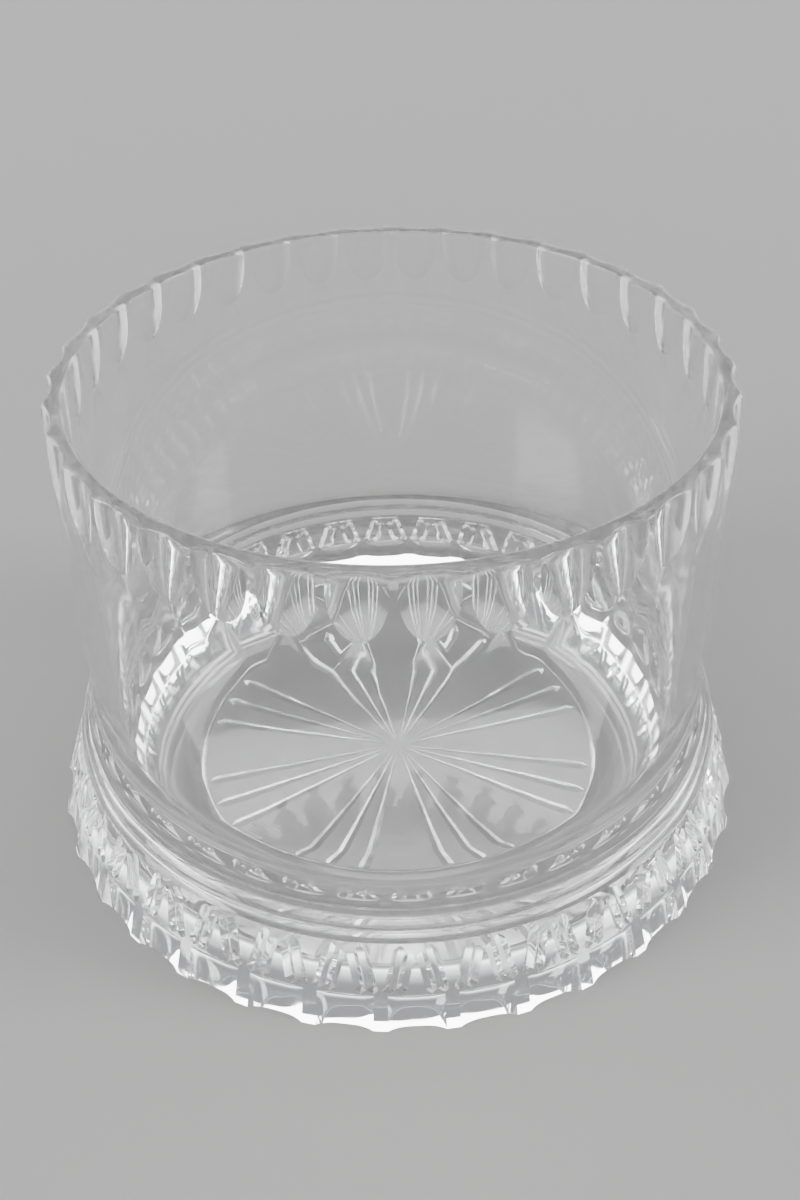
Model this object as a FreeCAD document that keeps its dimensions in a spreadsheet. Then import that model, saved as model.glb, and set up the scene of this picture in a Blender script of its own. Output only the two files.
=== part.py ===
"""Footed cut-crystal bowl: a straight-walled bowl, the ringed collar round its waist and the flared foot.

All sizes are in millimetres. +Z is up, and the origin is the centre of the face that the bowl stands on.
The bowl is a deep cup. Its lower wall steps in to a plain seat, and the collar and the foot are rings
that sit round that seat, one on top of the other, flush with the bowl's underside. A rim flute faces +X.
"""
import FreeCAD, Part
import Sketcher
import math
import os

os.makedirs("parts", exist_ok=True)
doc = FreeCAD.newDocument("FootedBowl")

SIZES = [
    # the bowl
    ("height", 102.0),
    ("wall_radius", 66.0),
    ("cavity_radius", 61.8),
    ("floor_thickness", 7.0),
    ("cavity_corner", 15.6),
    ("flare_height", 39.0),
    # the seat that the collar and the foot sit round
    ("seat_radius", 64.0),
    ("seat_top", 26.5),
    ("flare_radius", 68.4),
    # the collar: a ridge between two coves
    ("ridge_height", 22.6),
    ("ridge_radius", 69.8),
    ("upper_cove_radius", 68.2),
    ("lower_cove_radius", 69.3),
    # the foot, a cone
    ("foot_top", 19.0),
    ("foot_top_radius", 70.8),
    ("foot_radius", 77.0),
    # the tongue-shaped flutes round the rim, as a wheel with a rounded edge leaves them
    ("rim_flutes", 36),
    ("rim_flute_depth", 1.45),
    ("wheel_radius", 58.0),
    ("wheel_edge", 13.8),
    # the flutes round the foot's lower edge, which run out up the cone
    ("foot_flutes", 34),
    ("foot_flute_radius", 16.6),
    ("foot_flute_depth", 1.2),
    ("foot_flute_length", 7.8),
    ("foot_phase", 2.6),
    ("tool_reach", 20.0),
    # the star cut into the underside: groups of three long tapered rays
    ("star_groups", 8),
    ("star_phase", 19.5),
    ("star_spread", 10.0),
    ("star_inner", 2.0),
    ("star_widest", 43.0),
    ("star_outer", 45.0),
    ("ray_width", 2.6),
    ("ray_depth", 0.85),
]

# where the points of a new sketch start, before their constraints move them
START_CENTRE = 60.0
START_RADIUS = 10.0
START_DISTANCE = 1.0
# the turn that a placement starts with, so that its angle has an axis to be driven about
START_TURN = 1.0
UPRIGHT_TO_LYING = 90.0
# how closely an edge must match a size to be picked out by it
EDGE_TOLERANCE = 0.01


def make_sheet():
    """The spreadsheet that holds every driving size, one aliased cell each."""
    made = doc.addObject("Spreadsheet::Sheet", "Sizes")
    for row, (name, value) in enumerate(SIZES, start=1):
        made.set(f"A{row}", name)
        made.set(f"B{row}", str(value))
        made.setAlias(f"B{row}", name)
    doc.recompute()
    return made


def make_body(label):
    """An empty body whose label names its file."""
    body = doc.addObject("PartDesign::Body", label)
    body.Label = label
    return body


def origin_plane(body, role):
    """One of the body's own origin planes."""
    return next(f for f in body.Origin.OriginFeatures if f.Role == role)


def turn(item, cell):
    """Turns an attached sketch or datum about the bowl's axis by a cell."""
    start = FreeCAD.Rotation(FreeCAD.Vector(0, 0, 1), START_TURN)
    item.AttachmentOffset = FreeCAD.Placement(FreeCAD.Vector(), start)
    item.setExpression("AttachmentOffset.Rotation.Angle", f"Sizes.{cell}")


def make_sketch(body, name, plane, turned_by=None):
    """An empty sketch on an origin plane, turned about its own middle by a cell where one is named."""
    sketch = body.newObject("Sketcher::SketchObject", name)
    sketch.AttachmentSupport = [(origin_plane(body, plane), "")]
    sketch.MapMode = "FlatFace"
    if turned_by:
        turn(sketch, turned_by)
    return sketch


def hold(sketch, constraint, expression):
    """Adds a constraint whose value is an expression of the sheet's cells."""
    number = sketch.addConstraint(constraint)
    sketch.setExpression(f"Constraints[{number}]", expression)


def place_point(sketch, geometry, end, across, up):
    """Holds a point at expressions measured from the sketch's origin; "0" puts it on that axis."""
    if across == "0":
        sketch.addConstraint(Sketcher.Constraint("PointOnObject", geometry, end, -2))
    else:
        hold(sketch, Sketcher.Constraint("DistanceX", -1, 1, geometry, end, START_DISTANCE), across)
    if up == "0":
        sketch.addConstraint(Sketcher.Constraint("PointOnObject", geometry, end, -1))
    else:
        hold(sketch, Sketcher.Constraint("DistanceY", -1, 1, geometry, end, START_DISTANCE), up)


def add_outline(sketch, points):
    """A closed outline of straight lines through points, each a pair of expressions."""
    first = sketch.GeometryCount
    count = len(points)
    corners = []
    for k in range(count):
        angle = 2 * math.pi * k / count
        across = START_CENTRE + START_RADIUS * math.cos(angle)
        corners.append(FreeCAD.Vector(across, START_RADIUS * math.sin(angle), 0))
    for k in range(count):
        sketch.addGeometry(Part.LineSegment(corners[k], corners[(k + 1) % count]))
    for k in range(count):
        following = first + (k + 1) % count
        sketch.addConstraint(Sketcher.Constraint("Coincident", first + k, 2, following, 1))
    for k, (across, up) in enumerate(points):
        place_point(sketch, first + k, 1, across, up)


def revolve(body, name, points):
    """An outline of the sheet's cells turned all the way round the bowl's axis."""
    sketch = make_sketch(body, f"{name}_section", "XZ_Plane")
    add_outline(sketch, points)
    feature = body.newObject("PartDesign::Revolution", name)
    feature.Profile = sketch
    feature.ReferenceAxis = (sketch, ["V_Axis"])
    feature.Angle = 360
    doc.recompute()
    return feature


def pattern_round(body, name, feature, count_cell):
    """Repeats a cut evenly round the bowl's axis, and makes the pattern the body's result."""
    pattern = body.newObject("PartDesign::PolarPattern", name)
    pattern.Originals = [feature]
    pattern.Axis = (next(o for o in body.Origin.OriginFeatures if o.Role == "Z_Axis"), [""])
    pattern.Angle = 360
    pattern.setExpression("Occurrences", f"Sizes.{count_cell}")
    body.Tip = pattern
    doc.recompute()
    return pattern


def cut_upwards(body, name, sketch):
    """A pocket from a sketch on the underside up into the glass."""
    pocket = body.newObject("PartDesign::Pocket", name)
    pocket.Profile = sketch
    pocket.Reversed = True
    return pocket


def round_cavity_corner(body, cup):
    """The large round between the cavity's floor and its wall."""
    radius = float(sheet.cavity_radius)
    level = float(sheet.floor_thickness)
    found = []
    for number, edge in enumerate(cup.Shape.Edges, start=1):
        box = edge.BoundBox
        misses = [box.ZMin - level, box.ZMax - level, box.XMax - radius]
        if max(abs(miss) for miss in misses) < EDGE_TOLERANCE:
            found.append(f"Edge{number}")
    corner = body.newObject("PartDesign::Fillet", "cavity_round")
    corner.Base = (cup, found)
    corner.setExpression("Radius", "Sizes.cavity_corner")
    doc.recompute()
    return corner


def cut_rim_flute(body):
    """One flute: the rounded edge of a lying wheel, deepest at the rim and round at its lower end."""
    wheel = body.newObject("PartDesign::SubtractiveTorus", "rim_flute")
    wheel.AttachmentSupport = [(origin_plane(body, "XY_Plane"), "")]
    wheel.MapMode = "FlatFace"
    lying = FreeCAD.Rotation(FreeCAD.Vector(1, 0, 0), UPRIGHT_TO_LYING)
    wheel.AttachmentOffset = FreeCAD.Placement(FreeCAD.Vector(), lying)
    middle = "Sizes.wall_radius - Sizes.rim_flute_depth + Sizes.wheel_radius"
    wheel.setExpression("AttachmentOffset.Base.x", middle)
    wheel.setExpression("AttachmentOffset.Base.z", "Sizes.height")
    wheel.setExpression("Radius1", "Sizes.wheel_radius - Sizes.wheel_edge")
    wheel.setExpression("Radius2", "Sizes.wheel_edge")
    doc.recompute()
    return wheel


def cut_foot_flute(body):
    """One flute: a leaning cylinder that bites deepest at the foot's lower edge and runs out up the cone."""
    turned = body.newObject("PartDesign::Plane", "foot_turned")
    turned.AttachmentSupport = [(origin_plane(body, "XY_Plane"), "")]
    turned.MapMode = "FlatFace"
    turn(turned, "foot_phase")
    tool = body.newObject("PartDesign::SubtractiveCylinder", "foot_flute")
    tool.AttachmentSupport = [(turned, "")]
    tool.MapMode = "FlatFace"
    start = FreeCAD.Rotation(FreeCAD.Vector(0, 1, 0), -START_TURN)
    tool.AttachmentOffset = FreeCAD.Placement(FreeCAD.Vector(), start)
    cone = "(Sizes.foot_radius - Sizes.foot_top_radius) / Sizes.foot_top"
    slope = f"({cone} - Sizes.foot_flute_depth / Sizes.foot_flute_length)"
    middle = f"Sizes.foot_radius - Sizes.foot_flute_depth + Sizes.foot_flute_radius / cos(atan({slope}))"
    tool.setExpression("AttachmentOffset.Rotation.Angle", f"-atan({slope})")
    tool.setExpression("AttachmentOffset.Base.x", f"{middle} + Sizes.tool_reach * {slope}")
    tool.setExpression("AttachmentOffset.Base.z", "-Sizes.tool_reach")
    tool.setExpression("Radius", "Sizes.foot_flute_radius")
    tool.setExpression("Height", "2 * Sizes.tool_reach")
    doc.recompute()
    return tool


def ray_outline(angle):
    """One star ray as a long kite at an angle in degrees, pointed at both ends."""
    def corner(along, aside):
        across = f"{along} * cos({angle}) - {aside} * sin({angle})"
        up = f"{along} * sin({angle}) + {aside} * cos({angle})"
        return across, up

    return [
        corner("Sizes.star_inner", "0"),
        corner("Sizes.star_widest", "(-Sizes.ray_width / 2)"),
        corner("Sizes.star_outer", "0"),
        corner("Sizes.star_widest", "(Sizes.ray_width / 2)"),
    ]


def cut_star(body):
    """The star: one group of three rays, repeated round the underside."""
    sketch = make_sketch(body, "star_rays", "XY_Plane", turned_by="star_phase")
    for step in (-1, 0, 1):
        add_outline(sketch, ray_outline(f"({step} * Sizes.star_spread * 1 deg)"))
    group = cut_upwards(body, "star_group", sketch)
    group.setExpression("Length", "Sizes.ray_depth")
    doc.recompute()
    pattern_round(body, "star", group, "star_groups")


def make_bowl():
    """The cup with its flared lower wall, rim flutes and the star under its floor."""
    body = make_body("bowl")
    cup = revolve(body, "cup", [
        ("0", "0"),
        ("Sizes.seat_radius", "0"),
        ("Sizes.seat_radius", "Sizes.seat_top"),
        ("Sizes.flare_radius", "Sizes.seat_top"),
        ("Sizes.wall_radius", "Sizes.flare_height"),
        ("Sizes.wall_radius", "Sizes.height"),
        ("Sizes.cavity_radius", "Sizes.height"),
        ("Sizes.cavity_radius", "Sizes.floor_thickness"),
        ("0", "Sizes.floor_thickness"),
    ])
    round_cavity_corner(body, cup)
    pattern_round(body, "rim_flutes", cut_rim_flute(body), "rim_flutes")
    cut_star(body)
    return body


def make_collar():
    """The ring with two coves and a ridge between them."""
    body = make_body("collar")
    revolve(body, "collar_ring", [
        ("Sizes.seat_radius", "Sizes.foot_top"),
        ("Sizes.foot_top_radius", "Sizes.foot_top"),
        ("Sizes.lower_cove_radius", "(Sizes.foot_top + Sizes.ridge_height) / 2"),
        ("Sizes.ridge_radius", "Sizes.ridge_height"),
        ("Sizes.upper_cove_radius", "(Sizes.ridge_height + Sizes.seat_top) / 2"),
        ("Sizes.flare_radius", "Sizes.seat_top"),
        ("Sizes.seat_radius", "Sizes.seat_top"),
    ])
    return body


def make_foot():
    """The conical foot ring, with flutes that leave a narrow tooth between each two."""
    body = make_body("foot")
    revolve(body, "foot_cone", [
        ("Sizes.seat_radius", "0"),
        ("Sizes.foot_radius", "0"),
        ("Sizes.foot_top_radius", "Sizes.foot_top"),
        ("Sizes.seat_radius", "Sizes.foot_top"),
    ])
    pattern_round(body, "foot_flutes", cut_foot_flute(body), "foot_flutes")
    return body


def check_and_write(bodies):
    """Stops on any feature that failed or any shape that isn't a valid solid, then writes the files."""
    doc.recompute()
    for item in doc.Objects:
        if "Invalid" in item.State or "Error" in item.State:
            raise RuntimeError(f"{item.Name} failed: {item.State}")
    for body in bodies:
        shape = body.Shape
        if shape.isNull() or not shape.isValid() or len(shape.Solids) != 1:
            raise RuntimeError(f"{body.Label} is not one valid solid")
        box = shape.BoundBox
        print(f"{body.Label}: {shape.Volume:.0f} mm3, x {box.XMin:.2f} to {box.XMax:.2f},"
              f" z {box.ZMin:.2f} to {box.ZMax:.2f}, {len(shape.Faces)} faces")
        shape.exportStep(f"parts/{body.Label}.step")


sheet = make_sheet()
check_and_write([make_bowl(), make_collar(), make_foot()])
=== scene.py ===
"""Footed cut-crystal bowl on a pale floor: the glass of the bowl, its collar and its foot.

Lengths are in metres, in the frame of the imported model: +Z is up, and a rim flute faces +X.
Each piece is one closed mesh, worked out from the sizes below. The faces where two pieces are
joined carry a clear material, because fused glass has no surface there that light can see.
"""

import math

import bpy
from mathutils import Euler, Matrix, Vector
from mathutils.geometry import delaunay_2d_cdt


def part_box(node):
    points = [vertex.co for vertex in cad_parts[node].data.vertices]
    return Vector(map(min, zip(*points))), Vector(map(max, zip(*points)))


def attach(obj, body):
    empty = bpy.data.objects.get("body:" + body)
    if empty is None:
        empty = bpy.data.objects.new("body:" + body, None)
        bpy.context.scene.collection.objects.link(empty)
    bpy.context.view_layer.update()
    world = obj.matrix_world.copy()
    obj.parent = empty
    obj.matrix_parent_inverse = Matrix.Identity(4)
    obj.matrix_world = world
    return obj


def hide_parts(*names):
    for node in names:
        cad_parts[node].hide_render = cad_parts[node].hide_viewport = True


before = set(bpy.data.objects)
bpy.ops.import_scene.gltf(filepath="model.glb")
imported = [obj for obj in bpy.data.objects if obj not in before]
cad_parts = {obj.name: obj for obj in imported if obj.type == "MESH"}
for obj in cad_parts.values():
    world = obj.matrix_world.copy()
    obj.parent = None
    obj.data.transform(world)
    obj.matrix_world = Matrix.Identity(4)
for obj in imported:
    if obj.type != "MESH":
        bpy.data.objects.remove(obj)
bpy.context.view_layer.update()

MM = 0.001
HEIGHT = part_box("bowl")[1].z
COLLAR_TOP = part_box("collar")[1].z
FOOT_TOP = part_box("foot")[1].z

# the bowl
WALL_RADIUS = 66.0 * MM
CAVITY_RADIUS = 61.8 * MM
FLOOR_LEVEL = 7.0 * MM
CAVITY_CORNER = 15.6 * MM
# how far from level, in degrees, the inside corner is where it meets the floor
FLOOR_CREASE = 8.0
FLARE_TOP = 39.0 * MM
FLARE_RADIUS = 68.4 * MM
SEAT_RADIUS = 64.0 * MM
RIM_ROUND = 0.8 * MM

# the flutes round the rim, as a wheel with a rounded edge leaves them
RIM_FLUTES = 36
RIM_FLUTE_DEPTH = 1.45 * MM
WHEEL_RADIUS = 58.0 * MM
WHEEL_EDGE = 13.8 * MM
# how far the ridges between the flutes are polished down at the rim
RIDGE_TRIM = 0.45 * MM

# the star under the floor, its angles in degrees, and the fine groove that rings it
STAR_GROUPS = 8
STAR_PHASE = 19.5
STAR_SPREAD = 10.0
STAR_INNER = 1.0 * MM
STAR_WIDEST = 43.0 * MM
STAR_OUTER = 45.0 * MM
RAY_WIDTH = 2.6 * MM
RAY_DEPTH = 0.85 * MM
STAR_RING = 45.8 * MM
STAR_RING_WIDTH = 0.9 * MM
STAR_RING_DEPTH = 0.35 * MM

# the collar
RIDGE_HEIGHT = 22.6 * MM
RIDGE_RADIUS = 69.8 * MM
LOWER_COVE_DEPTH = 0.9 * MM
UPPER_COVE_DEPTH = 0.8 * MM

# the foot: a cone with a fluted lower edge and a zigzag of paired mitre cuts above it
FOOT_RADIUS = 77.0 * MM
FOOT_TOP_RADIUS = 70.8 * MM
FOOT_TEETH = 34
FOOT_PHASE = 2.6
TOOTH_WIDTH = 2.8 * MM
FOOT_FLUTE_DEPTH = 1.2 * MM
FOOT_FLUTE_TOP = 7.8 * MM
FOOT_FLUTE_STRAIGHT = 4.4 * MM
MITRE_DEPTH = 1.1 * MM
MITRE_BOTTOM = 8.2 * MM
MITRE_RUN_OUT = 0.8 * MM


def new_mesh_object(name, points, faces, face_slots, smooth, sharp_edges, materials):
    """A mesh object with a material slot and a shading choice for each face, and its sharp edges marked."""
    mesh = bpy.data.meshes.new(name)
    mesh.from_pydata([tuple(p) for p in points], [], faces)
    mesh.polygons.foreach_set("material_index", face_slots)
    mesh.polygons.foreach_set("use_smooth", smooth)
    wanted = {tuple(sorted(e)) for e in sharp_edges}
    marks = mesh.attributes.new("sharp_edge", "BOOLEAN", "EDGE")
    flags = [tuple(sorted(e.vertices)) in wanted for e in mesh.edges]
    marks.data.foreach_set("value", flags)
    mesh.update()
    for material in materials:
        mesh.materials.append(material)
    made = bpy.data.objects.new(name, mesh)
    bpy.context.scene.collection.objects.link(made)
    return made


class Shell:
    """Collects rings of points and the faces between them."""

    def __init__(self):
        self.points = []
        self.faces = []
        self.slots = []
        self.smooth = []
        self.sharp = []

    def add_ring(self, ring):
        """Adds a closed ring of points, and returns their numbers."""
        first = len(self.points)
        self.points.extend(ring)
        return list(range(first, len(self.points)))

    def add_face(self, face, slot=0, smooth=True):
        self.faces.append(face)
        self.slots.append(slot)
        self.smooth.append(smooth)

    def join_rings(self, low, high, slot=0, smooth=True, sharp_columns=(), slot_of=None):
        """Quads between two rings of the same count, from low outwards to high."""
        count = len(low)
        for k in range(count):
            after = (k + 1) % count
            chosen = slot_of(k) if slot_of else slot
            self.add_face((low[k], low[after], high[after], high[k]), chosen, smooth)
        for k in sharp_columns:
            self.sharp.append((low[k], high[k]))

    def sharpen(self, ring):
        """Marks the edges along a ring as sharp."""
        count = len(ring)
        for k in range(count):
            self.sharp.append((ring[k], ring[(k + 1) % count]))

    def fan(self, ring, centre):
        """Closes a ring onto one point."""
        tip = len(self.points)
        self.points.append(centre)
        count = len(ring)
        for k in range(count):
            self.add_face((ring[k], ring[(k + 1) % count], tip))

    def finish(self, name, materials):
        return new_mesh_object(name, self.points, self.faces, self.slots, self.smooth, self.sharp, materials)


def polar(radius, angle, height):
    """A point at a radius and an angle in radians round the bowl's axis."""
    return (radius * math.cos(angle), radius * math.sin(angle), height)


# the material slots of the pieces
POLISHED = 0
JOINT = 1
SATIN = 2
SILK = 3
WORN = 4

# ---------------------------------------------------------------- the bowl's outline round the rim flutes

RIM_FLUTE_STEPS = 10
RIDGE_STEPS = 3
FLUTE_COLUMNS = 2 * RIDGE_STEPS + RIM_FLUTE_STEPS
RIM_PITCH = 2 * math.pi / RIM_FLUTES
NARROWEST_FLUTE = math.radians(0.1)
WIDEST_FLUTE = 0.495 * RIM_PITCH
HALVINGS = 30
RIM_FLUTE_LENGTH = math.sqrt(WHEEL_RADIUS ** 2 - (WHEEL_RADIUS - RIM_FLUTE_DEPTH) ** 2)


def flute_radius(angle, height):
    """The radius that the wheel leaves at an angle from the middle of a flute, as if it met no wall."""
    middle = WALL_RADIUS - RIM_FLUTE_DEPTH + WHEEL_RADIUS
    aside = WALL_RADIUS * math.sin(angle)
    reach = WHEEL_RADIUS - WHEEL_EDGE + math.sqrt(WHEEL_EDGE ** 2 - aside ** 2)
    drop = min(HEIGHT - height, RIM_FLUTE_LENGTH)
    return (middle - math.sqrt(reach ** 2 - drop ** 2)) / math.cos(angle)


def ridge_radius(height):
    """The ridges between the flutes, which polishing has taken down towards the rim."""
    share = max(height - (HEIGHT - RIM_FLUTE_LENGTH), 0.0) / RIM_FLUTE_LENGTH
    return WALL_RADIUS - RIDGE_TRIM * share ** 3


def flute_half_angle(height):
    """Half the angle that one flute takes up on the wall at a height, found by halving."""
    inner, outer = NARROWEST_FLUTE, WIDEST_FLUTE
    for _ in range(HALVINGS):
        middle = (inner + outer) / 2
        if flute_radius(middle, height) < ridge_radius(height):
            inner = middle
        else:
            outer = middle
    return inner


def rim_angles(half):
    """Every column's angle when each flute spans half an angle to each side of its middle."""
    angles = []
    ridge = RIM_PITCH / 2
    for flute in range(RIM_FLUTES):
        middle = flute * RIM_PITCH
        for k in range(RIDGE_STEPS):
            angles.append(middle - ridge + (ridge - half) * k / RIDGE_STEPS)
        for k in range(RIM_FLUTE_STEPS):
            angles.append(middle - half + 2 * half * k / RIM_FLUTE_STEPS)
        for k in range(RIDGE_STEPS):
            angles.append(middle + half + (ridge - half) * k / RIDGE_STEPS)
    return angles


def flute_edge_columns():
    """The columns along both edges of every flute."""
    found = []
    for flute in range(RIM_FLUTES):
        first = flute * FLUTE_COLUMNS + RIDGE_STEPS
        found.extend((first, first + RIM_FLUTE_STEPS))
    return found


def flute_slot(column):
    """The material slot of a rim column: silky inside a flute, polished on the ridges."""
    within = column % FLUTE_COLUMNS
    return SILK if RIDGE_STEPS <= within < RIDGE_STEPS + RIM_FLUTE_STEPS else POLISHED


EVEN_HALF_ANGLE = RIM_PITCH / 2 * RIM_FLUTE_STEPS / FLUTE_COLUMNS
EVEN_ANGLES = rim_angles(EVEN_HALF_ANGLE)


def even_ring(shell, radius, height):
    """A plain circle with the bowl's columns spread evenly."""
    return shell.add_ring([polar(radius, a, height) for a in EVEN_ANGLES])


def fluted_ring(shell, height, inset=0.0, lift=0.0):
    """The wall's outline at a height, moved in by an inset and up by a lift to round the rim's edge."""
    half = flute_half_angle(height)
    ring = []
    for k, angle in enumerate(rim_angles(half)):
        nearest = round(angle / RIM_PITCH) * RIM_PITCH
        radius = min(ridge_radius(height), flute_radius(angle - nearest, height))
        ring.append(polar(radius - inset, angle, height + lift))
    return shell.add_ring(ring)


def flare_radius(height):
    """The wall's radius between the collar and the plain wall."""
    share = (height - COLLAR_TOP) / (FLARE_TOP - COLLAR_TOP)
    return WALL_RADIUS + (FLARE_RADIUS - WALL_RADIUS) * (1 - min(share, 1.0)) ** 2


# ---------------------------------------------------------------- the star under the floor

# how the flat is cut into triangles: only inside its outline, with points this close merged
INSIDE_OUTLINE = 1
MERGE_DISTANCE = 1e-7


def star_ray(angle):
    """A V-groove's corners: inner tip, one edge, outer tip, other edge and the bottom between the edges."""
    turn = math.radians(angle)
    along = Vector((math.cos(turn), math.sin(turn)))
    aside = Vector((-math.sin(turn), math.cos(turn))) * RAY_WIDTH / 2
    return [
        along * STAR_INNER,
        along * STAR_WIDEST - aside,
        along * STAR_OUTER,
        along * STAR_WIDEST + aside,
        along * STAR_WIDEST,
    ]


def add_star_base(shell, ring):
    """The flat underside inside a ring, with the star's grooves cut up into it."""
    flat = [Vector(shell.points[k][:2]) for k in ring]
    count = len(flat)
    edges = [(k, (k + 1) % count) for k in range(count)]
    depths = [0.0] * count
    for group in range(STAR_GROUPS):
        for step in (-1, 0, 1):
            angle = STAR_PHASE + group * 360 / STAR_GROUPS + step * STAR_SPREAD
            first = len(flat)
            flat.extend(star_ray(angle))
            depths.extend((0.0, 0.0, 0.0, 0.0, RAY_DEPTH))
            inner, left, outer, right, bottom = range(first, first + 5)
            edges.extend(((inner, left), (left, outer), (outer, right), (right, inner)))
            edges.extend(((inner, bottom), (bottom, outer), (left, bottom), (right, bottom)))
    found, _, triangles, origins, _, _ = delaunay_2d_cdt(flat, edges, [], INSIDE_OUTLINE, MERGE_DISTANCE)
    numbers = []
    for point, sources in zip(found, origins):
        source = min(sources) if sources else -1
        if 0 <= source < count:
            numbers.append(ring[source])
        else:
            numbers.append(len(shell.points))
            depth = depths[source] if source >= 0 else 0.0
            shell.points.append((point.x, point.y, depth))
    for triangle in triangles:
        corners = [numbers[k] for k in triangle]
        cut = any(shell.points[k][2] > 0 for k in corners)
        shell.add_face(tuple(reversed(corners)), slot=SATIN if cut else WORN, smooth=False)


# how many rings each stretch of the bowl's outline takes
FLARE_STEPS = 12
WALL_STEPS = 6
FLUTE_ROWS = 16
EDGE_STEPS = 4
CAVITY_STEPS = 10
CORNER_STEPS = 24
FLOOR_SHARES = (0.985, 0.66, 0.33, 0.1)
PLAIN_WALL_MARGIN = 6.0 * MM
QUARTER_TURN = math.pi / 2
RIM_START = HEIGHT - RIM_ROUND


def add_underside(shell):
    """The star, the groove round it and the flat that the bowl stands on. Returns the outermost ring."""
    base = even_ring(shell, SEAT_RADIUS, 0.0)
    groove_outer = even_ring(shell, STAR_RING + STAR_RING_WIDTH / 2, 0.0)
    groove_top = even_ring(shell, STAR_RING, STAR_RING_DEPTH)
    groove_inner = even_ring(shell, STAR_RING - STAR_RING_WIDTH / 2, 0.0)
    shell.join_rings(groove_outer, base)
    shell.join_rings(groove_top, groove_outer, slot=SATIN)
    shell.join_rings(groove_inner, groove_top, slot=SATIN)
    add_star_base(shell, groove_inner)
    for ring in (base, groove_outer, groove_top, groove_inner):
        shell.sharpen(ring)
    return base


def add_seat(shell, base):
    """The hidden faces that the collar and the foot sit round. Returns the ring where the flare starts."""
    seat = even_ring(shell, SEAT_RADIUS, COLLAR_TOP)
    shell.join_rings(base, seat, slot=JOINT)
    last = even_ring(shell, flare_radius(COLLAR_TOP), COLLAR_TOP)
    shell.join_rings(seat, last, slot=JOINT)
    shell.sharpen(seat)
    shell.sharpen(last)
    return last


def add_outer_wall(shell, last):
    """The flare and the plain wall, up to just below the rim flutes."""
    for k in range(1, FLARE_STEPS + 1):
        height = COLLAR_TOP + (FLARE_TOP - COLLAR_TOP) * k / FLARE_STEPS
        ring = even_ring(shell, flare_radius(height), height)
        shell.join_rings(last, ring)
        last = ring
    plain = HEIGHT - RIM_FLUTE_LENGTH - PLAIN_WALL_MARGIN - FLARE_TOP
    for k in range(1, WALL_STEPS + 1):
        ring = even_ring(shell, WALL_RADIUS, FLARE_TOP + plain * k / WALL_STEPS)
        shell.join_rings(last, ring)
        last = ring
    return last


def add_rim(shell, last):
    """The rim flutes and the rounded edge above them."""
    edges = flute_edge_columns()
    flutes_end = HEIGHT - RIM_FLUTE_LENGTH
    for k in range(FLUTE_ROWS + 1):
        rise = 1 - math.cos(QUARTER_TURN * k / FLUTE_ROWS)
        ring = fluted_ring(shell, flutes_end + (RIM_START - flutes_end) * rise)
        shell.join_rings(last, ring, sharp_columns=edges if k else (), slot_of=flute_slot)
        last = ring
    for k in range(1, EDGE_STEPS + 1):
        turn = QUARTER_TURN * k / EDGE_STEPS
        inset = RIM_ROUND * (1 - math.cos(turn))
        ring = fluted_ring(shell, RIM_START, inset, RIM_ROUND * math.sin(turn))
        shell.join_rings(last, ring, sharp_columns=edges)
        last = ring
    for k in range(EDGE_STEPS + 1):
        turn = QUARTER_TURN * k / EDGE_STEPS
        radius = CAVITY_RADIUS + RIM_ROUND * (1 - math.sin(turn))
        ring = even_ring(shell, radius, RIM_START + RIM_ROUND * math.cos(turn))
        shell.join_rings(last, ring)
        last = ring
    return last


def add_cavity(shell, last):
    """The inner wall, its large round corner and the floor."""
    crease = math.radians(FLOOR_CREASE)
    corner = CAVITY_CORNER / (1 - math.sin(crease))
    corner_top = FLOOR_LEVEL + corner * math.cos(crease)
    for k in range(1, CAVITY_STEPS + 1):
        height = RIM_START + (corner_top - RIM_START) * k / CAVITY_STEPS
        ring = even_ring(shell, CAVITY_RADIUS, height)
        shell.join_rings(last, ring)
        last = ring
    for k in range(1, CORNER_STEPS + 1):
        turn = QUARTER_TURN + (crease - QUARTER_TURN) * k / CORNER_STEPS
        radius = CAVITY_RADIUS - corner * (1 - math.sin(turn))
        ring = even_ring(shell, radius, corner_top - corner * math.cos(turn))
        shell.join_rings(last, ring)
        last = ring
    shell.sharpen(last)
    for share in FLOOR_SHARES:
        ring = even_ring(shell, (CAVITY_RADIUS - CAVITY_CORNER) * share, FLOOR_LEVEL)
        shell.join_rings(last, ring)
        last = ring
    shell.fan(last, (0.0, 0.0, FLOOR_LEVEL))


def make_bowl(materials):
    """The cup, from the star on its underside up the outside, over the rim and down to its floor."""
    shell = Shell()
    base = add_underside(shell)
    flare = add_seat(shell, base)
    wall = add_outer_wall(shell, flare)
    rim = add_rim(shell, wall)
    add_cavity(shell, rim)
    return shell.finish("bowl_crystal", materials)


# ---------------------------------------------------------------- the collar

COLLAR_COLUMNS = 432
COVE_STEPS = 8


def cove(low, high, depth):
    """Radius and height along a shallow hollow between two points, both ends left out."""
    made = []
    for k in range(1, COVE_STEPS):
        share = k / COVE_STEPS
        radius = low[0] + (high[0] - low[0]) * share - depth * 4 * share * (1 - share)
        made.append((radius, low[1] + (high[1] - low[1]) * share))
    return made


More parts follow.
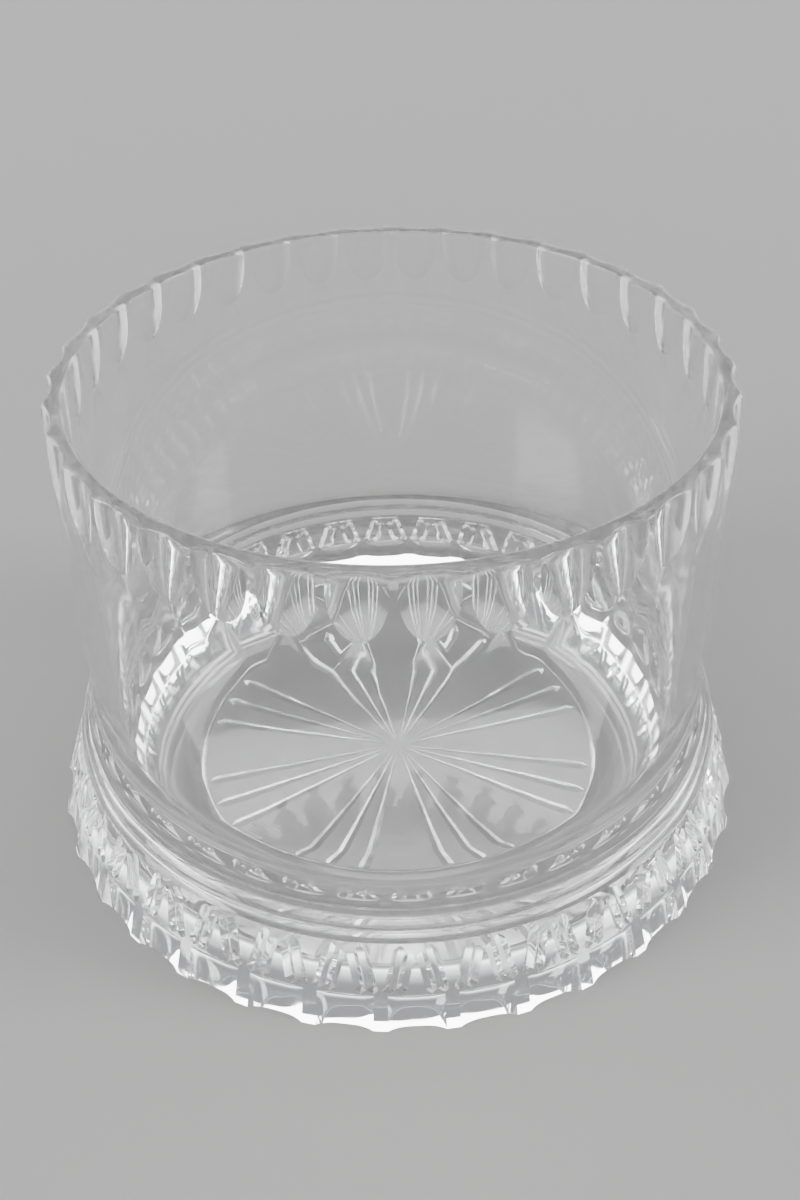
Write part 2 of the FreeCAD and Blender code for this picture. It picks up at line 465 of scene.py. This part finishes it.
def make_collar(glass, joint):
    """The ring with a ridge between two coves. Only its outside is a real surface."""
    shell = Shell()

    def ring_at(radius, height):
        turns = [2 * math.pi * k / COLLAR_COLUMNS for k in range(COLLAR_COLUMNS)]
        return shell.add_ring([polar(radius, a, height) for a in turns])

    bottom = (FOOT_TOP_RADIUS, FOOT_TOP)
    ridge = (RIDGE_RADIUS, RIDGE_HEIGHT)
    top = (FLARE_RADIUS, COLLAR_TOP)
    outside = [bottom, *cove(bottom, ridge, LOWER_COVE_DEPTH), ridge]
    outside += [*cove(ridge, top, UPPER_COVE_DEPTH), top]
    inner_low = ring_at(SEAT_RADIUS, FOOT_TOP)
    inner_high = ring_at(SEAT_RADIUS, COLLAR_TOP)
    rings = [ring_at(radius, height) for radius, height in outside]
    shell.join_rings(inner_low, rings[0], slot=JOINT)
    for low, high in zip(rings, rings[1:]):
        shell.join_rings(low, high)
    shell.join_rings(rings[-1], inner_high, slot=JOINT)
    shell.join_rings(inner_high, inner_low, slot=JOINT)
    for ring in (inner_low, inner_high, rings[0], rings[-1], rings[outside.index(ridge)]):
        shell.sharpen(ring)
    return shell.finish("collar_crystal", [glass, joint])


# ---------------------------------------------------------------- the foot

TOOTH_PITCH = 2 * math.pi / FOOT_TEETH
TOOTH_SHARE = TOOTH_WIDTH / (FOOT_RADIUS * TOOTH_PITCH) / 2
HALF_FLUTE_STEPS = 6
STRAIGHT_STEPS = 3
RUN_OUT_STEPS = 8
# shares of a pitch from a tooth's middle: its edge, then steps across half of the flute
FLUTE_SHARES = [0.0]
for flute_step in range(HALF_FLUTE_STEPS + 1):
    FLUTE_SHARES.append(TOOTH_SHARE + (0.5 - TOOTH_SHARE) * flute_step / HALF_FLUTE_STEPS)
# the two mitre cuts on each side of a tooth: share of a pitch at its foot and its head, and its top
MITRES = (
    (0.1, 0.285, 18.6 * MM),
    (0.278, 0.42, 17.2 * MM),
)
MITRE_HALF_WIDTH = 0.08
MITRE_LEAST_WIDTH = 0.003
# the heights of the mitre cuts' corners, in millimetres
MITRE_ROWS = (8.2, 9.0, 11.0, 13.5, 16.4, 17.2, 17.8, 18.6)
MITRE_COLUMNS = 8
FOOT_COLUMNS = 2 * (len(FLUTE_SHARES) - 1)


def cone_radius(height):
    """The foot's plain cone."""
    return FOOT_RADIUS + (FOOT_TOP_RADIUS - FOOT_RADIUS) * height / FOOT_TOP


def tooth_columns(shares, values):
    """Mirrors half a tooth's columns into a whole pitch, as angle and value pairs."""
    pairs = list(zip(shares, values))
    mirrored = [(-share, value) for share, value in reversed(pairs[1:-1])]
    return mirrored + pairs


def foot_ring(shell, shares, cuts, height, radius=None):
    """A ring round the foot, cut below its cone by a depth for each of half a tooth's columns."""
    surface = cone_radius(height) if radius is None else radius
    phase = math.radians(FOOT_PHASE) + TOOTH_PITCH / 2
    ring = []
    for tooth in range(FOOT_TEETH):
        middle = phase + tooth * TOOTH_PITCH
        for share, cut in tooth_columns(shares, cuts):
            ring.append(polar(surface - cut, middle + share * TOOTH_PITCH, height))
    return shell.add_ring(ring)


def foot_flute_cuts(height):
    """How deep the upright flute is at each column: a hollow that runs out at its top."""
    past = (height - FOOT_FLUTE_STRAIGHT) / (FOOT_FLUTE_TOP - FOOT_FLUTE_STRAIGHT)
    depth = FOOT_FLUTE_DEPTH * math.sqrt(max(0.0, 1 - max(past, 0.0) ** 2))
    cuts = [0.0]
    for k in range(HALF_FLUTE_STEPS + 1):
        across = 1 - k / HALF_FLUTE_STEPS
        cuts.append(depth * (1 - across ** 3))
    return cuts


def mitre_strength(height, top):
    """How full a mitre cut is at a height: it runs out to nothing at both of its ends."""
    from_end = min(height - MITRE_BOTTOM, top - height)
    return min(max(from_end / MITRE_RUN_OUT, 0.0), 1.0)


def mitre_columns(height):
    """Half a tooth's columns at a height as shares of a pitch, and how deep the zigzag is at each."""
    shares, cuts = [0.0], [0.0]
    for low, high, top in MITRES:
        risen = min((height - MITRE_BOTTOM) / (top - MITRE_BOTTOM), 1.0)
        middle = low + (high - low) * risen
        strength = mitre_strength(height, top)
        half = max(MITRE_HALF_WIDTH * strength, MITRE_LEAST_WIDTH)
        shares += [middle - half, middle, middle + half]
        cuts += [0.0, MITRE_DEPTH * strength, 0.0]
    return shares + [0.5], cuts + [0.0]


def tooth_edge_columns():
    """The columns along both edges of every tooth."""
    half = FOOT_COLUMNS // 2
    found = []
    for tooth in range(FOOT_TEETH):
        middle = tooth * FOOT_COLUMNS + half - 1
        found.extend((middle - 1, middle + 1))
    return found


def make_foot(glass, joint):
    """The foot ring: flat underside, fluted edge, mitre cuts, and hidden faces against the other pieces."""
    shell = Shell()
    plain = [0.0] * len(FLUTE_SHARES)
    inner_low = foot_ring(shell, FLUTE_SHARES, plain, 0.0, SEAT_RADIUS)
    last = foot_ring(shell, FLUTE_SHARES, foot_flute_cuts(0.0), 0.0)
    shell.join_rings(inner_low, last, smooth=False)
    shell.sharpen(inner_low)
    shell.sharpen(last)

    edges = tooth_edge_columns()
    heights = [FOOT_FLUTE_STRAIGHT * k / STRAIGHT_STEPS for k in range(1, STRAIGHT_STEPS + 1)]
    for k in range(1, RUN_OUT_STEPS + 1):
        risen = math.sin(QUARTER_TURN * k / RUN_OUT_STEPS)
        heights.append(FOOT_FLUTE_STRAIGHT + (FOOT_FLUTE_TOP - FOOT_FLUTE_STRAIGHT) * risen)
    for height in heights:
        ring = foot_ring(shell, FLUTE_SHARES, foot_flute_cuts(height), height)
        shell.join_rings(last, ring, sharp_columns=edges)
        last = ring
    shell.sharpen(last)

    for row in MITRE_ROWS:
        shares, cuts = mitre_columns(row * MM)
        ring = foot_ring(shell, shares, cuts, row * MM)
        shell.join_rings(last, ring, smooth=False)
        last = ring
    plain = [0.0] * MITRE_COLUMNS
    top = foot_ring(shell, shares, plain, FOOT_TOP)
    shell.join_rings(last, top, smooth=False)
    inner_high = foot_ring(shell, shares, plain, FOOT_TOP, SEAT_RADIUS)
    shell.join_rings(top, inner_high, slot=JOINT)
    shell.join_rings(inner_high, inner_low, slot=JOINT)
    shell.sharpen(top)
    shell.sharpen(inner_high)
    return shell.finish("foot_crystal", [glass, joint])


# ---------------------------------------------------------------- materials

CRYSTAL_IOR = 1.545


def new_material(name):
    """A material with its shader and output nodes only."""
    material = bpy.data.materials.new(name)
    material.use_nodes = True
    return material, material.node_tree, material.node_tree.nodes["Principled BSDF"]


def crystal_material(name, ripple, least_rough, most_rough, clear=1.0):
    """Lead crystal: slow hand-polished ripples, a surface duller in patches, and how clear it is."""
    material, tree, shader = new_material(name)
    shader.inputs["Base Color"].default_value = (0.985, 0.99, 0.99, 1)
    shader.inputs["Transmission Weight"].default_value = clear
    shader.inputs["IOR"].default_value = CRYSTAL_IOR
    where = tree.nodes.new("ShaderNodeTexCoord")

    polish = tree.nodes.new("ShaderNodeTexNoise")
    polish.inputs["Scale"].default_value = 60.0
    polish.inputs["Detail"].default_value = 2.0
    tree.links.new(where.outputs["Object"], polish.inputs["Vector"])
    bump = tree.nodes.new("ShaderNodeBump")
    bump.inputs["Strength"].default_value = 1.0
    bump.inputs["Distance"].default_value = ripple
    tree.links.new(polish.outputs["Fac"], bump.inputs["Height"])
    tree.links.new(bump.outputs["Normal"], shader.inputs["Normal"])

    wear = tree.nodes.new("ShaderNodeTexNoise")
    wear.inputs["Scale"].default_value = 220.0
    wear.inputs["Detail"].default_value = 6.0
    tree.links.new(where.outputs["Object"], wear.inputs["Vector"])
    dull = tree.nodes.new("ShaderNodeMapRange")
    dull.inputs["From Min"].default_value = 0.4
    dull.inputs["From Max"].default_value = 0.75
    dull.inputs["To Min"].default_value = least_rough
    dull.inputs["To Max"].default_value = most_rough
    tree.links.new(wear.outputs["Fac"], dull.inputs["Value"])
    tree.links.new(dull.outputs["Result"], shader.inputs["Roughness"])
    return material


def joint_material():
    """The face where two pieces of glass are fused: light passes as if it weren't there."""
    material, _, shader = new_material("fused_joint")
    shader.inputs["Alpha"].default_value = 0.0
    return material


def floor_material():
    material, _, shader = new_material("pale_floor")
    shader.inputs["Base Color"].default_value = (0.6, 0.59, 0.58, 1)
    shader.inputs["Roughness"].default_value = 0.6
    return material


# ---------------------------------------------------------------- the stage

def add_floor():
    """A wide round pale floor just under the glass."""
    bpy.ops.mesh.primitive_circle_add(vertices=256, radius=4.0, fill_type="NGON", location=(0, 0, -0.1 * MM))
    floor = bpy.context.object
    floor.name = "floor"
    floor.data.materials.append(floor_material())


LIGHT_DISTANCE = 6.0


def add_softbox(name, azimuth, elevation, width, height, brightness):
    """A rectangular studio light that faces the bowl, as bright as an emitting panel of that strength."""
    light = bpy.data.lights.new(name, "AREA")
    light.shape = "RECTANGLE"
    light.size = width
    light.size_y = height
    light.energy = brightness * math.pi * width * height
    holder = bpy.data.objects.new(name, light)
    bpy.context.scene.collection.objects.link(holder)
    turn, rise = math.radians(azimuth), math.radians(elevation)
    middle = Vector((0, 0, HEIGHT / 2))
    outwards = Vector((math.sin(turn) * math.cos(rise), math.cos(turn) * math.cos(rise), math.sin(rise)))
    holder.location = middle + outwards * LIGHT_DISTANCE
    holder.rotation_euler = (-outwards).to_track_quat("-Z", "Y").to_euler()
    holder.visible_camera = False
    return holder


def add_room():
    """Surroundings like a pale studio: brightest at the horizon, and dim overhead."""
    world = bpy.data.worlds.new("room")
    bpy.context.scene.world = world
    world.use_nodes = True
    tree = world.node_tree
    where = tree.nodes.new("ShaderNodeTexCoord")
    split = tree.nodes.new("ShaderNodeSeparateXYZ")
    tree.links.new(where.outputs["Generated"], split.inputs["Vector"])
    ramp = tree.nodes.new("ShaderNodeValToRGB")
    stops = ramp.color_ramp.elements
    stops[0].position, stops[0].color = 0.15, (0.9, 0.91, 0.92, 1)
    stops[1].position, stops[1].color = 0.45, (0.17, 0.17, 0.175, 1)
    tree.links.new(split.outputs["Z"], ramp.inputs["Fac"])
    shader = tree.nodes["Background"]
    tree.links.new(ramp.outputs["Color"], shader.inputs["Color"])
    shader.inputs["Strength"].default_value = 2.0


def add_lights():
    """Softboxes behind, overhead and at both sides. The floor is lit by the side ones and the room only."""
    back = add_softbox("back", azimuth=0, elevation=52, width=6.0, height=1.8, brightness=3.4)
    back.visible_glossy = False
    top = add_softbox("top", azimuth=0, elevation=85, width=3.2, height=2.6, brightness=2.5)
    for light in (back, top):
        light.visible_diffuse = False
    add_softbox("left", azimuth=-105, elevation=25, width=3.0, height=2.2, brightness=5.5)
    add_softbox("right", azimuth=100, elevation=30, width=1.8, height=2.6, brightness=5.0)


def set_contrast():
    """A print with strong contrast, which suits clear glass on a pale floor."""
    bpy.context.scene.view_settings.look = "AgX - High Contrast"


# the camera, with lengths as shares of the rim's radius and angles in degrees
CAMERA_UNIT = 65.0 * MM
CAMERA_SIDE = 0.015
CAMERA_BACK = 3.574
CAMERA_HEIGHT = 3.557
CAMERA_PITCH = 38.7
CAMERA_ROLL = -0.88
CAMERA_TURN = -5.0
CAMERA_LENS = 41.3


def add_camera():
    """The camera at the photographer's place, looking down into the bowl."""
    data = bpy.data.cameras.new("camera")
    data.lens = CAMERA_LENS
    data.sensor_width = 36.0
    data.clip_start = 0.01
    camera = bpy.data.objects.new("camera", data)
    bpy.context.scene.collection.objects.link(camera)
    turn = Euler((0, 0, math.radians(CAMERA_TURN))).to_matrix()
    camera.location = turn @ Vector((CAMERA_SIDE, -CAMERA_BACK, CAMERA_HEIGHT)) * CAMERA_UNIT
    tilt = Euler((math.radians(90 - CAMERA_PITCH), 0, 0)).to_matrix()
    roll = Euler((0, 0, math.radians(CAMERA_ROLL))).to_matrix()
    camera.rotation_euler = (turn @ tilt @ roll).to_euler()
    bpy.context.scene.camera = camera


GLASS_BOUNCES = 160
CLEAR_FACES = 64


def set_light_paths():
    """Enough bounces for light to cross many faces of glass. With few, the rim flutes turn black."""
    cycles = bpy.context.scene.cycles
    cycles.max_bounces = GLASS_BOUNCES
    cycles.transmission_bounces = GLASS_BOUNCES
    cycles.glossy_bounces = GLASS_BOUNCES
    cycles.transparent_max_bounces = CLEAR_FACES


add_camera()
add_floor()
add_lights()
add_room()
set_contrast()
set_light_paths()

joint = joint_material()
bowl_materials = [
    crystal_material("bowl_glass", ripple=0.02 * MM, least_rough=0.0, most_rough=0.06),
    joint,
    crystal_material("satin_cut", ripple=0.02 * MM, least_rough=0.08, most_rough=0.2, clear=0.85),
    crystal_material("silk_cut", ripple=0.03 * MM, least_rough=0.03, most_rough=0.1),
    crystal_material("worn_base", ripple=0.02 * MM, least_rough=0.08, most_rough=0.2),
]
collar_glass = crystal_material("collar_glass", ripple=0.01 * MM, least_rough=0.0, most_rough=0.06)
foot_glass = crystal_material("foot_glass", ripple=0.01 * MM, least_rough=0.0, most_rough=0.06)
pieces = {
    "bowl": make_bowl(bowl_materials),
    "collar": make_collar(collar_glass, joint),
    "foot": make_foot(foot_glass, joint),
}
for node, piece in pieces.items():
    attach(piece, "root")
    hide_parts(node)
